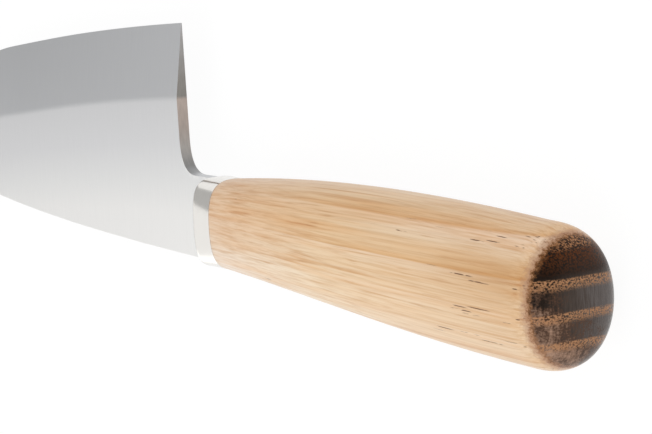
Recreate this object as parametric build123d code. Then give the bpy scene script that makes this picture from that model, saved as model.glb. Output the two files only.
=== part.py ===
from build123d import *
import os
from math import cos, pi, sin

# Deba knife for the right hand: a single-bevel blade with a stick tang, a steel collar and an
# oval wooden handle. The knife lies on the flat back of its blade, bevel up. X runs along the
# handle towards the tip, +Y towards the spine and +Z out of the bevelled face. The pieces are
# made about the handle's axis, with X = 0 where the wood meets the collar, and are moved at the
# end so that the origin is on the surface below the knife, under the middle of its outline.
# All sizes are in millimetres.

# Handle: an oval bar, measured at the collar, at one and two thirds of the way to the start of
# the rounded butt, and there. A fullness of 0.55 is an ellipse and 1 is a rectangle. The butt's
# last oval, which closes it, stands at butt_turn_share of a quarter turn.
handle_length = 119.0
front_height = 20.5
front_width = 14.1
third_height = 24.2
third_width = 17.8
two_thirds_height = 26.3
two_thirds_width = 20.0
butt_height = 25.7
butt_width = 20.3
third_sag = -0.3
two_thirds_sag = 0.45
butt_sag = 1.5
end_sag = 1.6
front_fullness = 0.75
butt_fullness = 0.575
butt_round = 11.8
butt_squareness = 3.0
butt_turn_share = 0.93

# Collar: a drawn steel cap over a spigot on the wood
collar_length = 7.9
collar_wall = 0.9
collar_face = 1.5
collar_fullness = 0.86
collar_rim_chamfer = 0.5

# Blade: its outline seen from the bevelled side
blade_length = 165.0
neck_length = 15.8
heel_depth = 44.8
heel_lean = 0.6
neck_spine_half = 9.5
neck_edge_half = 9.85
throat_length = 7.2
throat_depth = 8.3
tip_depth = 3.2

# Where the edge rises from the heel to the tip, as shares of the blade's length and of the drop
# from the heel to the tip, and the same for the spine
belly_length_shares = (0.21, 0.42, 0.61, 0.77, 0.9)
belly_rise_shares = (0.032, 0.083, 0.144, 0.245, 0.528)
spine_length_shares = (0.26, 0.55, 0.73, 0.87)
spine_drop_shares = (0.024, 0.146, 0.3, 0.53)

# Blade: its thickness and its grinds
blade_thickness = 2.8
tip_thickness = 1.7
edge_thickness = 0.16
bevel_heel_width = 17.3
bevel_belly_width = 19.4
bevel_tip_width = 17.0
bevel_place_shares = (0, 0.6, 1)
hollow_depth = 0.5
hollow_edge_rim = 4.0
hollow_spine_rim = 6.0
hollow_heel_gap = 4.0
hollow_tip_gap = 26.0
hollow_place_shares = (0, 0.12, 0.35, 0.6, 0.8, 1)
hollow_depth_shares = (0.03, 0.6, 1, 1, 0.7, 0.03)
spine_round = 0.35

# Tang: a tapered bar that starts at the collar's front face
tang_length = 78.0
tang_height = 12.0
tang_end_height = 6.0
tang_thickness = 2.3
bedding_gap = 1.2
bedding_end_gap = 3.0

# Fits and helpers
slot_clearance = 0.1
spigot_clearance = 0.08
overrun = 4.0
bar_stations = 8
round_stations = 10
grind_stations = 9
halvings = 40


def oval(x, height, width, fullness, sag=0.0, inset=0.0):
    """A rounded oval across the X axis: four Bezier quarters, with its middle sag towards the spine."""
    a = height / 2 - inset
    b = width / 2 - inset
    ends = [Vector(0, a, 0), Vector(0, 0, b), Vector(0, -a, 0), Vector(0, 0, -b)]
    middle = Vector(x, sag, 0)
    quarters = []
    for start, end in zip(ends, ends[1:] + ends[:1]):
        leave = start + end * fullness
        arrive = end + start * fullness
        quarters.append(Edge.make_bezier(middle + start, middle + leave, middle + arrive, middle + end))
    return Face(Wire(quarters))


def crossbar(x, height, thickness):
    """A rectangle across the X axis, centred on it."""
    return Plane(origin=(x, 0, 0), x_dir=(0, 1, 0), z_dir=(1, 0, 0)) * Rectangle(height, thickness)


def blend(shares, share, values):
    """The value at one share of a length, on straight lines between the given places."""
    for low, high, start, end in zip(shares, shares[1:], values, values[1:]):
        if share <= high:
            return start + (end - start) * (share - low) / (high - low)
    return values[-1]


def through(values, share):
    """The cubic through four values spaced evenly along a length, read at a share of the length."""
    place = share * (len(values) - 1)
    total = 0
    for own, value in enumerate(values):
        weight = value
        for other in range(len(values)):
            if other != own:
                weight = weight * (place - other) / (own - other)
        total = total + weight
    return total


def y_on(edge, x):
    """Where an outline curve stands at a place along the blade, found by halving."""
    low, high = 0.0, 1.0
    for _ in range(halvings):
        middle = (low + high) / 2
        if edge.position_at(middle).X < x:
            low = middle
        else:
            high = middle
    return edge.position_at((low + high) / 2).Y


# Places that several pieces share
heel_x = collar_length + neck_length
tip_x = heel_x + blade_length
back_z = -blade_thickness / 2
heel_corner = Vector(heel_x, -heel_depth)
tip_point = Vector(tip_x, -tip_depth)


def handle_oval(share, along=0.0, shrink=1.0):
    """The handle's outline at a share of the bar, or past it, along the rounded butt."""
    heights = (front_height, third_height, two_thirds_height, butt_height)
    widths = (front_width, third_width, two_thirds_width, butt_width)
    sags = (0, third_sag, two_thirds_sag, butt_sag)
    x = -(handle_length - butt_round) * share - butt_round * along
    fullness = front_fullness + (butt_fullness - front_fullness) * share
    sag = through(sags, share) + (end_sag - butt_sag) * along
    return oval(x, through(heights, share) * shrink, through(widths, share) * shrink, fullness, sag)


def handle_bar():
    """The handle's outer form: a lofted bar, and a butt that closes as a superellipse."""
    stations = [handle_oval(station / bar_stations) for station in range(bar_stations + 1)]
    dome = [handle_oval(1)]
    for station in range(1, round_stations + 1):
        turn = pi / 2 * butt_turn_share * station / round_stations
        reach = (sin(turn) ** butt_squareness + cos(turn) ** butt_squareness) ** (-1 / butt_squareness)
        dome.append(handle_oval(1, sin(turn) * reach, cos(turn) * reach))
    return loft(stations, ruled=True) + loft(dome, ruled=True)


def bore(x_end, gap):
    """The tapered hole for the tang, wider than the tang by a gap, from the spigot's end to x_end."""
    front = crossbar(collar_length, tang_height + 2 * gap, tang_thickness + 2 * gap)
    end = crossbar(x_end, tang_end_height + 2 * gap, tang_thickness + 2 * gap)
    return loft([end, front])


def spigot_oval(x, clearance):
    """The outline of the wood inside the collar."""
    return oval(x, front_height, front_width, front_fullness, inset=collar_wall + clearance)


def handle():
    """The wooden handle with its spigot and its blind bore."""
    length = collar_length - collar_face - spigot_clearance
    spigot = extrude(spigot_oval(0, spigot_clearance), length, dir=(1, 0, 0))
    return handle_bar() + spigot - bore(-tang_length - bedding_end_gap, bedding_gap)


def collar():
    """The steel cap: squarer at its front, open towards the wood, with a slot for the tang."""
    front = oval(collar_length, front_height, front_width, collar_fullness)
    back = oval(0, front_height, front_width, front_fullness)
    body = loft([back, front])
    body = chamfer(body.faces().sort_by(Axis.X)[-1].edges(), collar_rim_chamfer)
    cavity = extrude(spigot_oval(0, 0), collar_length - collar_face, dir=(1, 0, 0))
    slot_height = tang_height + 2 * slot_clearance
    slot_width = tang_thickness + 2 * slot_clearance
    slot = extrude(crossbar(0, slot_height, slot_width), collar_length + overrun, dir=(1, 0, 0))
    return body - cavity - slot


def belly():
    """The cutting edge from the heel to the tip, seen from the bevelled side."""
    drop = heel_depth - tip_depth
    points = [heel_corner]
    for along, rise in zip(belly_length_shares, belly_rise_shares):
        points.append(Vector(heel_x + blade_length * along, -heel_depth + drop * rise))
    return Edge.make_spline(points + [tip_point])


def spine():
    """The spine from the collar to the tip."""
    length = tip_x - collar_length
    drop = neck_spine_half + tip_depth
    points = [Vector(collar_length, neck_spine_half)]
    for along, fall in zip(spine_length_shares, spine_drop_shares):
        points.append(Vector(collar_length + length * along, neck_spine_half - drop * fall))
    return Edge.make_spline(points + [tip_point])


def blade_outline():
    """The blade and its neck, ending in square shoulders against the collar."""
    throat_top = Vector(heel_x - heel_lean, -neck_edge_half - throat_depth)
    throat_end = Vector(heel_x - heel_lean - throat_length, -neck_edge_half)
    shoulder_low = Vector(collar_length, -neck_edge_half)
    shoulder_high = Vector(collar_length, neck_spine_half)
    heel_line = Edge.make_line(heel_corner, throat_top)
    throat = Edge.make_spline([throat_top, throat_end], tangents=[throat_top - heel_corner, (-1, 0)])
    neck_line = Edge.make_line(throat_end, shoulder_low)
    shoulder = Edge.make_line(shoulder_low, shoulder_high)
    return Face(Wire([belly(), heel_line, throat, neck_line, shoulder, spine()]))


def flat_height(x):
    """How high the flat face lies at a place along the blade: it falls evenly towards the tip."""
    fall = (blade_thickness - tip_thickness) / (tip_x - collar_length)
    return blade_thickness / 2 - fall * (x - collar_length)


def taper_cut():
    """The wedge above the flat face that makes the blade thinner towards the tip."""
    start_x = collar_length
    end_x = tip_x + overrun
    top = blade_thickness / 2 + overrun
    low_start = Vector(start_x, 0, flat_height(start_x))
    low_end = Vector(end_x, 0, flat_height(end_x))
    corners = [low_start, low_end, Vector(end_x, 0, top), Vector(start_x, 0, top)]
    wedge = Face(Wire.make_polygon(corners, close=True))
    return extrude(wedge, heel_depth + overrun, dir=(0, 1, 0), both=True)


def bevel_cut():
    """Everything above the bevel, a ruled face from the ridge line down to the edge."""
    edge = belly()
    widths = (bevel_heel_width, bevel_belly_width, bevel_tip_width)
    outer = []
    inner = []
    for station in range(grind_stations):
        share = station / (grind_stations - 1)
        tangent = edge.tangent_at(share)
        inward = Vector(-tangent.Y, tangent.X)
        place = edge.position_at(share)
        if station == 0:
            place = place - tangent * overrun
        if station == grind_stations - 1:
            place = place + tangent * overrun
        width = blend(bevel_place_shares, share, widths)
        ridge = place + inward * width
        edge_z = back_z + edge_thickness
        slope = (flat_height(ridge.X) - edge_z) / width
        low = place - inward * overrun
        high = ridge + inward * overrun
        outer.append(Vector(low.X, low.Y, edge_z - slope * overrun))
        inner.append(Vector(high.X, high.Y, flat_height(ridge.X) + slope * overrun))
    bevel = Face.make_surface_from_curves(Edge.make_spline(outer), Edge.make_spline(inner))
    return extrude(bevel, blade_thickness + 2 * overrun, dir=(0, 0, 1))


def hollow_section(x, edge_y, spine_y, depth):
    """One slice of the hollow in the back: a shallow arc over its chord, closed below the back."""
    middle = (edge_y + spine_y) / 2
    arc = ThreePointArc((x, edge_y, back_z), (x, middle, back_z + depth), (x, spine_y, back_z))
    box = Polyline((x, spine_y, back_z), (x, spine_y, back_z - overrun), (x, edge_y, back_z - overrun),
                   (x, edge_y, back_z))
    return Face(Wire([*arc.edges(), *box.edges()]))


def hollow_cut():
    """The hollow-ground back, which fades out at both ends and leaves a flat rim round itself."""
    start_x = heel_x + hollow_heel_gap
    length = tip_x - hollow_tip_gap - start_x
    edge = belly()
    back = spine()
    sections = []
    for place, depth in zip(hollow_place_shares, hollow_depth_shares):
        x = start_x + length * place
        low = y_on(edge, x) + hollow_edge_rim
        high = y_on(back, x) - hollow_spine_rim
        sections.append(hollow_section(x, low, high, hollow_depth * depth))
    return loft(sections)


def tang():
    """The tapered bar behind the shoulders."""
    return loft([crossbar(-tang_length, tang_end_height, tang_thickness),
                 crossbar(collar_length, tang_height, tang_thickness)])


def blade():
    """The blade: outline, distal taper, eased spine, bevel, hollow back and tang."""
    slab = extrude(Plane.XY.offset(back_z) * blade_outline(), blade_thickness, dir=(0, 0, 1)) - taper_cut()
    spine_edges = slab.edges().filter_by(GeomType.BSPLINE).sort_by(Axis.Y)[-2:]
    ground = fillet(spine_edges, spine_round) - bevel_cut() - hollow_cut()
    return ground + tang()


def tang_bedding():
    """The resin that fills the bore round the tang."""
    filling = bore(-tang_length - bedding_end_gap, bedding_gap)
    front_block = crossbar(collar_length - collar_face, front_height, front_width)
    in_front = extrude(front_block, collar_face + overrun, dir=(1, 0, 0))
    return filling - in_front - tang()


pieces = {
    "blade": blade(),
    "collar": collar(),
    "handle": handle(),
    "tang_bedding": tang_bedding(),
}

box = Compound(children=[Compound(piece.solids()) for piece in pieces.values()]).bounding_box()
ground_point = Vector((box.min.X + box.max.X) / 2, (box.min.Y + box.max.Y) / 2, box.min.Z)

os.makedirs("parts", exist_ok=True)
for name, piece in pieces.items():
    placed = Pos(*(ground_point * -1)) * piece
    export_step(placed, "parts/" + name + ".step")
    print(name, "solids", len(placed.solids()), "volume", round(placed.volume, 1), "valid", placed.is_valid)
print("ground point", ground_point)
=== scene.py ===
"""A right-handed kitchen knife with one bevel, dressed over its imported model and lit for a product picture.

The knife lies on the flat back of its blade. Lengths in the classes are in millimetres about the axis
of the handle: X runs from the wood's end at the collar towards the tip, Y towards the spine and Z out
of the bevelled face. KnifeAxis turns them into the frame's metres.
"""
from __future__ import annotations

import logging
import math
from dataclasses import dataclass, field
from enum import IntEnum

import bmesh
import bpy
import numpy as np
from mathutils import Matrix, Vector

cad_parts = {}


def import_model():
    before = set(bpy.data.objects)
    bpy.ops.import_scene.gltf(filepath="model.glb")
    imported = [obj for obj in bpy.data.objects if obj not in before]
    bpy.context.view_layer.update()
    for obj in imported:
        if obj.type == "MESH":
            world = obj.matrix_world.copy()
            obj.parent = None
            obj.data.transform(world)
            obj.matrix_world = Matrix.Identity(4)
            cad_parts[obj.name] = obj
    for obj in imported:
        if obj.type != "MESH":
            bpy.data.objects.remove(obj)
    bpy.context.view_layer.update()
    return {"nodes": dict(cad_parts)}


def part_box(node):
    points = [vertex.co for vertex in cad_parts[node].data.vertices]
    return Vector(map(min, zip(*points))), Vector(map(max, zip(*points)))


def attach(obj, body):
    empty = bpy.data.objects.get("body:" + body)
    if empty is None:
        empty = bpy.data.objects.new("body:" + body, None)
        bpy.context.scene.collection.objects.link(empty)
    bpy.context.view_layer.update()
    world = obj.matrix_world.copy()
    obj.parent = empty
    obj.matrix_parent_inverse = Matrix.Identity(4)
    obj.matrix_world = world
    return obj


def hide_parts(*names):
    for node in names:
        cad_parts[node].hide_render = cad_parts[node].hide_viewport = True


LOG = logging.getLogger("knife")
MM = 0.001
Grid = np.ndarray
Triple = tuple[float, float, float]
Colour = tuple[float, float, float, float]
Tree = bpy.types.NodeTree
Socket = bpy.types.NodeSocket


def linear(hex_colour: str) -> Colour:
    """Turns an sRGB colour into the linear values that shaders work in.

    Each channel c below 0.04045 is c / 12.92, and above it ((c + 0.055) / 1.055) to the power 2.4.

    Args:
        hex_colour: six hexadecimal digits, such as "D8B48A".

    Returns:
        Linear red, green, blue and an alpha of one.
    """
    channels = [int(hex_colour[place:place + 2], 16) / 255 for place in (0, 2, 4)]
    curved = [c / 12.92 if c <= 0.04045 else ((c + 0.055) / 1.055) ** 2.4 for c in channels]
    return curved[0], curved[1], curved[2], 1.0


def add_node(tree: Tree, kind: str, inputs: dict | None = None, **settings) -> bpy.types.Node:
    """Adds one node with its settings, its values and its links.

    Args:
        tree: the node tree that gets the node.
        kind: the node's type, without the words ShaderNode before it.
        inputs: a socket's name or number, with the value it holds or the output that feeds it.
        settings: the node's own properties; stops is the list of (place, colour) of a colour ramp.

    Returns:
        The new node.
    """
    node = tree.nodes.new("ShaderNode" + kind)
    stops = settings.pop("stops", None)
    for name, value in settings.items():
        setattr(node, name, value)
    if stops is not None:
        ramp = node.color_ramp
        while len(ramp.elements) < len(stops):
            ramp.elements.new(1.0)
        for element, (place, colour) in zip(ramp.elements, stops):
            element.position = place
            element.color = colour
    for socket, value in (inputs or {}).items():
        if isinstance(value, Socket):
            tree.links.new(value, node.inputs[socket])
        else:
            node.inputs[socket].default_value = value
    return node


class MixSocket(IntEnum):
    """Numbers of the sockets that a colour mix uses, because their names are not unique."""

    SHARE = 0
    FIRST = 6
    SECOND = 7
    RESULT = 2


def bare_material(name: str) -> bpy.types.Material:
    """Makes a material with an empty node tree.

    Args:
        name: the material's name.

    Returns:
        The material, with nothing in its tree.
    """
    material = bpy.data.materials.new(name)
    material.use_nodes = True
    material.node_tree.nodes.clear()
    return material


@dataclass(frozen=True)
class KnifeAxis:
    """Where the handle's axis starts in the frame, in metres."""

    start: Vector

    @classmethod
    def from_frame(cls) -> KnifeAxis:
        """Reads the axis from the collar, whose middle it runs through and whose back end it starts at."""
        low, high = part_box("collar")
        return cls(Vector((low.x, (low.y + high.y) / 2, (low.z + high.z) / 2)))

    def to_frame(self, points: Grid) -> Grid:
        """Turns points in millimetres about the axis into the frame's metres."""
        return points * MM + np.array(self.start)


@dataclass
class Patchwork:
    """Grids of points that are laid side by side and welded into one closed mesh."""

    points: list[Grid] = field(default_factory=list)
    faces: list[Grid] = field(default_factory=list)
    slots: list[Grid] = field(default_factory=list)
    marks: list[Grid] = field(default_factory=list)
    count: int = 0

    def add(self, grid: Grid, closed: bool = False, slot: int = 0, mark: Grid | float = 0.0) -> None:
        """Lays one grid of points and joins neighbours with four-sided faces.

        Args:
            grid: points by row and column, as an array of rows x columns x 3.
            closed: whether the last column joins the first.
            slot: which of the piece's materials the faces take.
            mark: a number for each point, or one for all, kept on the mesh as its mark.
        """
        rows, columns = grid.shape[:2]
        number = self.count + np.arange(rows * columns).reshape(rows, columns)
        if closed:
            number = np.concatenate([number, number[:, :1]], axis=1)
        corners = [number[:-1, :-1], number[1:, :-1], number[1:, 1:], number[:-1, 1:]]
        quads = np.stack(corners, axis=-1).reshape(-1, 4)
        self.points.append(grid.reshape(-1, 3))
        self.faces.append(quads)
        self.slots.append(np.full(len(quads), slot, dtype=np.int32))
        self.marks.append(np.broadcast_to(mark, (rows, columns)).reshape(-1))
        self.count += rows * columns

    def make(self, name: str, axis: KnifeAxis, materials: list[bpy.types.Material]) -> bpy.types.Object:
        """Welds the grids into one object at the origin, with its normals outward.

        Args:
            name: the piece's name.
            axis: the axis that the points are measured about.
            materials: the piece's materials, in the order of the slots.

        Returns:
            The new object, linked to the scene.
        """
        weld_distance = 0.002 * MM
        sharp_angle = math.radians(24)
        mesh = bpy.data.meshes.new(name)
        mesh.from_pydata(axis.to_frame(np.concatenate(self.points)), [], np.concatenate(self.faces))
        mesh.polygons.foreach_set("material_index", np.concatenate(self.slots))
        mark = mesh.attributes.new("mark", "FLOAT", "POINT")
        mark.data.foreach_set("value", np.concatenate(self.marks).astype(np.float32))
        for material in materials:
            mesh.materials.append(material)
        shell = bmesh.new()
        shell.from_mesh(mesh)
        bmesh.ops.remove_doubles(shell, verts=shell.verts, dist=weld_distance)
        bmesh.ops.dissolve_degenerate(shell, edges=shell.edges, dist=weld_distance)
        bmesh.ops.recalc_face_normals(shell, faces=shell.faces)
        shell.to_mesh(mesh)
        shell.free()
        sides = np.zeros(len(mesh.loops), dtype=np.int32)
        mesh.loops.foreach_get("edge_index", sides)
        open_edges = int((np.bincount(sides) != 2).sum())
        mesh.polygons.foreach_set("use_smooth", np.ones(len(mesh.polygons), dtype=bool))
        mesh.set_sharp_from_angle(angle=sharp_angle)
        piece = bpy.data.objects.new(name, mesh)
        bpy.context.scene.collection.objects.link(piece)
        LOG.info("%s: %d faces, %d edges that are not closed", name, len(mesh.polygons), open_edges)
        return piece


def spline_through(points: Grid, count: int) -> Grid:
    """Points spaced evenly along the smooth curve through a few given ones.

    The curve is a cubic spline over the straight distance from point to point. At each end it leaves
    with the slope of the single cubic through the four nearest points.

    Args:
        points: the given points, as an array of n x 2 with n of four or more.
        count: how many points to give back.

    Returns:
        An array of count x 2.
    """
    steps = np.linalg.norm(np.diff(points, axis=0), axis=1)
    knots = np.concatenate([[0.0], np.cumsum(steps)])
    last = len(points) - 1
    system = np.zeros((last + 1, last + 1))
    wanted = np.zeros((last + 1, 2))
    for end, near in ((0, slice(0, 4)), (last, slice(last - 3, last + 1))):
        cubic = np.linalg.solve(np.vander(knots[near] - knots[end], 4), points[near])
        system[end, end] = 1.0
        wanted[end] = cubic[2]
    for own in range(1, last):
        before, after = steps[own - 1], steps[own]
        system[own, own - 1:own + 2] = after, 2 * (before + after), before
        rise_before = (points[own] - points[own - 1]) / before
        rise_after = (points[own + 1] - points[own]) / after
        wanted[own] = 3 * (after * rise_before + before * rise_after)
    slopes = np.linalg.solve(system, wanted)
    fine = np.linspace(0, knots[-1], 4001)
    piece = np.clip(np.searchsorted(knots, fine, side="right") - 1, 0, last - 1)
    share = ((fine - knots[piece]) / steps[piece])[:, None]
    curve = hermite(points[piece], points[piece + 1], slopes[piece] * steps[piece][:, None],
                    slopes[piece + 1] * steps[piece][:, None], share)
    return evenly_along(curve, count)


def hermite(start: Grid, end: Grid, leave: Grid, arrive: Grid, share: Grid) -> Grid:
    """The cubic from start to end with given slopes at both, read at a share between them.

    Args:
        start: the first point.
        end: the last point.
        leave: the slope at the first point.
        arrive: the slope at the last point.
        share: places between the two, from 0 to 1.

    Returns:
        The points at those places.
    """
    square, cube = share ** 2, share ** 3
    return ((2 * cube - 3 * square + 1) * start + (cube - 2 * square + share) * leave
            + (3 * square - 2 * cube) * end + (cube - square) * arrive)


def evenly_along(curve: Grid, count: int) -> Grid:
    """Gives points evenly spaced by length along a curve that is known at many points.

    Args:
        curve: points of the curve, one to a row.
        count: how many points to give.

    Returns:
        The points, with the curve's own ends as first and last.
    """
    lengths = np.concatenate([[0.0], np.cumsum(np.linalg.norm(np.diff(curve, axis=0), axis=1))])
    wanted = np.linspace(0, lengths[-1], count)
    return np.stack([np.interp(wanted, lengths, curve[:, part]) for part in range(curve.shape[1])], axis=1)


def through_four(values: tuple[float, ...], share: Grid) -> Grid:
    """The cubic through four values spaced evenly from share 0 to share 1, read at shares."""
    places = np.linspace(0, 1, 4)
    return np.polyval(np.polyfit(places, values, 3), share)


def oval_rings(turns: Grid, height: Grid, width: Grid, fullness: Grid) -> tuple[Grid, Grid]:
    """Rounded ovals made of four Bezier quarters each.

    In a quarter from an end s to the next end e, with share t, the point is
    s * ((1-t)^3 + 3(1-t)^2 t + 3(1-t)t^2 f) + e * (3(1-t)^2 t f + 3(1-t)t^2 + t^3), where f is the
    fullness: 0.55 is an ellipse and 1 is close to a rectangle.

    Args:
        turns: places round the oval from 0 to 4; 0 is the spine side and 1 the bevelled side.
        height: the sizes along Y, one for each ring.
        width: the sizes along Z, one for each ring.
        fullness: the fullness of each ring.

    Returns:
        Y and Z of each point, as arrays of rings x places.
    """
    t = (turns % 1)[None, :]
    f = np.atleast_1d(fullness)[:, None]
    first = (1 - t) ** 3 + 3 * (1 - t) ** 2 * t + 3 * (1 - t) * t ** 2 * f
    second = 3 * (1 - t) ** 2 * t * f + 3 * (1 - t) * t ** 2 + t ** 3
    return quarters_to_ring(turns, first, second, height, width)


def box_rings(turns: Grid, height: Grid, width: Grid) -> tuple[Grid, Grid]:
    """Rectangles walked with the same places as an oval, so that rings of both kinds can be joined.

    Args:
        turns: places round the rectangle from 0 to 4.
        height: the sizes along Y, one for each ring.
        width: the sizes along Z, one for each ring.

    Returns:
        Y and Z of each point, as arrays of rings x places.
    """
    t = (turns % 1)[None, :]
    first = np.minimum(1, 2 * (1 - t))
    second = np.minimum(1, 2 * t)
    return quarters_to_ring(turns, first, second, height, width)


def quarters_to_ring(turns: Grid, first: Grid, second: Grid, height: Grid, width: Grid) -> tuple[Grid, Grid]:
    """Adds up each quarter's two end directions, weighted, and scales them to the half sizes.

    Args:
        turns: places round the ring from 0 to 4.
        first: the weight of the quarter's first end at each place.
        second: the weight of its second end.
        height: the sizes along Y, one for each ring.
        width: the sizes along Z, one for each ring.

    Returns:
        Y and Z of each point, as arrays of rings x places.
    """
    ends = np.array([[1, 0], [0, 1], [-1, 0], [0, -1]])
    quarter = np.floor(turns).astype(int) % 4
    start, end = ends[quarter], ends[(quarter + 1) % 4]
    y = np.atleast_1d(height)[:, None] / 2 * (start[:, 0] * first + end[:, 0] * second)
    z = np.atleast_1d(width)[:, None] / 2 * (start[:, 1] * first + end[:, 1] * second)
    return y, z


def ring_stack(x: Grid, y: Grid, z: Grid) -> Grid:
    """Joins the X of each ring with the Y and Z of its points into rings x places x 3."""
    return np.stack([np.broadcast_to(np.atleast_1d(x)[:, None], y.shape), y, z], axis=-1)


@dataclass(frozen=True)
class TangSizes:
    """The stick tang and the room round it, which the blade, the collar and the handle share."""

    length: float = 78.0
    height: float = 12.0
    end_height: float = 6.0
    thickness: float = 2.3
    bedding_gap: float = 1.2
    bedding_end_gap: float = 3.0
    slot_clearance: float = 0.1


@dataclass(frozen=True)
class CollarSizes:
    """The drawn steel cap and the fit of the wood inside it."""

    length: float = 7.9
    height: float = 20.5
    width: float = 14.1
    wall: float = 0.9
    face: float = 1.5
    front_fullness: float = 0.86
    back_fullness: float = 0.75
    rim_round: float = 0.75
    spigot_clearance: float = 0.08


class Handle:
    """The wooden handle: an oval bar with a domed butt, a spigot for the collar and a bore for the tang."""

    length = 118.98
    butt_round = 11.8
    butt_squareness = 3.0
    heights = (20.5, 24.2, 26.3, 25.7)
    widths = (14.1, 17.8, 20.0, 20.3)
    sags = (0.0, -0.3, 0.45, 1.5)
    end_sag = 1.6
    front_fullness = 0.75
    butt_fullness = 0.575
    shoulder_ease = 0.15
    sanding_share = 0.9985
    places_round = 208
    bar_rings = 150
    butt_rings = 44

    def __init__(self, axis: KnifeAxis, collar: CollarSizes, tang: TangSizes) -> None:
        """Keeps the sizes of the pieces that the handle fits.

        Args:
            axis: the handle's axis in the frame.
            collar: the collar's sizes.
            tang: the tang's sizes.
        """
        self.axis = axis
        self.collar = collar
        self.tang = tang
        self.turns = np.linspace(0, 4, self.places_round, endpoint=False)

    def bar(self) -> Grid:
        """The outer form from the butt to the front.

        A ring at a share of the bar has the height, width and sag of cubics through four stations. Along
        the butt the rings shrink by cos(a) k and step back by sin(a) k, where a runs to a quarter turn and
        k = (sin(a)^m + cos(a)^m)^(-1/m), which is a superellipse of squareness m.

        Returns:
            Rings from the butt's pole to the front, as rings x places x 3.
        """
        angle = np.linspace(np.pi / 2, 0, self.butt_rings, endpoint=False)
        reach = (np.sin(angle) ** self.butt_squareness + np.cos(angle) ** self.butt_squareness)
        reach = reach ** (-1 / self.butt_squareness)
        along = np.concatenate([np.sin(angle) * reach, np.zeros(self.bar_rings)])
        shrink = np.concatenate([np.cos(angle) * reach, np.ones(self.bar_rings)])
        share = np.concatenate([np.ones(self.butt_rings), np.linspace(1, 0, self.bar_rings)])
        x = -(self.length - self.butt_round) * share - self.butt_round * along
        fullness = self.front_fullness + (self.butt_fullness - self.front_fullness) * share
        sag = through_four(self.sags, share) + (self.end_sag - self.sags[-1]) * along
        shrink = shrink * self.sanding_share
        y, z = oval_rings(self.turns, through_four(self.heights, share) * shrink,
                          through_four(self.widths, share) * shrink, fullness)
        return ring_stack(x, y + sag[:, None], z)

    def inside(self) -> Grid:
        """The eased shoulder, the spigot in the collar and the bore for the tang, down to the bore's end.

        Returns:
            Rings from the shoulder to the bore's end, as rings x places x 3.
        """
        collar, tang = self.collar, self.tang
        inset = 2 * (collar.wall + collar.spigot_clearance)
        ease = self.shoulder_ease
        spigot_end = collar.length - collar.face - collar.spigot_clearance
        insets = np.array([ease, inset, inset])
        places = np.array([0.0, 0.0, spigot_end])
        y, z = oval_rings(self.turns, collar.height - insets, collar.width - insets,
                          np.full(3, self.front_fullness))
        outer = ring_stack(places, y, z)
        gap = 2 * tang.bedding_gap
        bore_end = -tang.length - tang.bedding_end_gap
        y, z = box_rings(self.turns, np.array([tang.height + gap, tang.end_height + gap, 0]),
                         np.array([tang.thickness + gap, tang.thickness + gap, 0]))
        return np.concatenate([outer, ring_stack(np.array([spigot_end, bore_end, bore_end]), y, z)])

    def build(self, wood: bpy.types.Material) -> bpy.types.Object:
        """Makes the handle in one closed skin and puts it in place of the plain node.

        Args:
            wood: the finish of the whole bar.

        Returns:
            The handle's object.
        """
        bar = self.bar()
        bar[-1, :, 0] = -self.shoulder_ease
        skin = Patchwork()
        skin.add(np.concatenate([bar, self.inside()]), closed=True)
        piece = skin.make("handle_wood_bar", self.axis, [wood])
        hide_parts("handle")
        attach(piece, "root")
        return piece


class Collar:
    """The steel cap between the neck and the wood."""

    places_round = 208
    wall_rings = 8
    round_steps = 7

    def __init__(self, axis: KnifeAxis, sizes: CollarSizes, tang: TangSizes) -> None:
        """Keeps the cap's sizes and those of the tang that passes through it.

        Args:
            axis: the handle's axis in the frame.
            sizes: the collar's sizes.
            tang: the tang's sizes.
        """
        self.axis = axis
        self.sizes = sizes
        self.tang = tang
        self.turns = np.linspace(0, 4, self.places_round, endpoint=False)

    def skin(self) -> Grid:
        """The cap's whole surface as one ring of rings.

        It runs from the back along the outside, over the rolled rim, through the slot for the tang and
        back along the inside. A rolled corner of radius r at angle a stands r (1 - cos a) in from the
        wall and r (1 - sin a) short of the end.

        Returns:
            Rings of points, where the last meets the first.
        """
        size, tang = self.sizes, self.tang
        rim = np.linspace(0, np.pi / 2, self.round_steps)
        wall = np.linspace(0, size.length - size.rim_round, self.wall_rings, endpoint=False)
        x = np.concatenate([wall, size.length - size.rim_round * (1 - np.sin(rim))])
        inset = np.concatenate([np.zeros_like(wall), size.rim_round * (1 - np.cos(rim))])
        fullness = size.back_fullness + (size.front_fullness - size.back_fullness) * x / size.length
        y, z = oval_rings(self.turns, size.height - 2 * inset, size.width - 2 * inset, fullness)
        outside = ring_stack(x, y, z)
        clear = 2 * tang.slot_clearance
        inner_x = size.length - size.face
        y, z = box_rings(self.turns, np.full(2, tang.height + clear), np.full(2, tang.thickness + clear))
        slot = ring_stack(np.array([size.length, inner_x]), y, z)
        y, z = oval_rings(self.turns, np.full(2, size.height - 2 * size.wall),
                          np.full(2, size.width - 2 * size.wall), np.full(2, size.back_fullness))
        inside = ring_stack(np.array([inner_x, 0.0]), y, z)
        return np.concatenate([outside, slot, inside, outside[:1]])

    def build(self, steel: bpy.types.Material) -> bpy.types.Object:
        """Makes the cap and puts it in place of the plain node.

        Args:
            steel: the finish of the whole cap.

        Returns:
            The collar's object.
        """
        skin = Patchwork()
        skin.add(self.skin(), closed=True)
        piece = skin.make("collar_cap", self.axis, [steel])
        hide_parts("collar")
        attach(piece, "root")
        return piece


class BladeSlot(IntEnum):
    """Which of the blade's materials a patch takes."""

    GROUND = 0
    SAWN = 1


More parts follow.
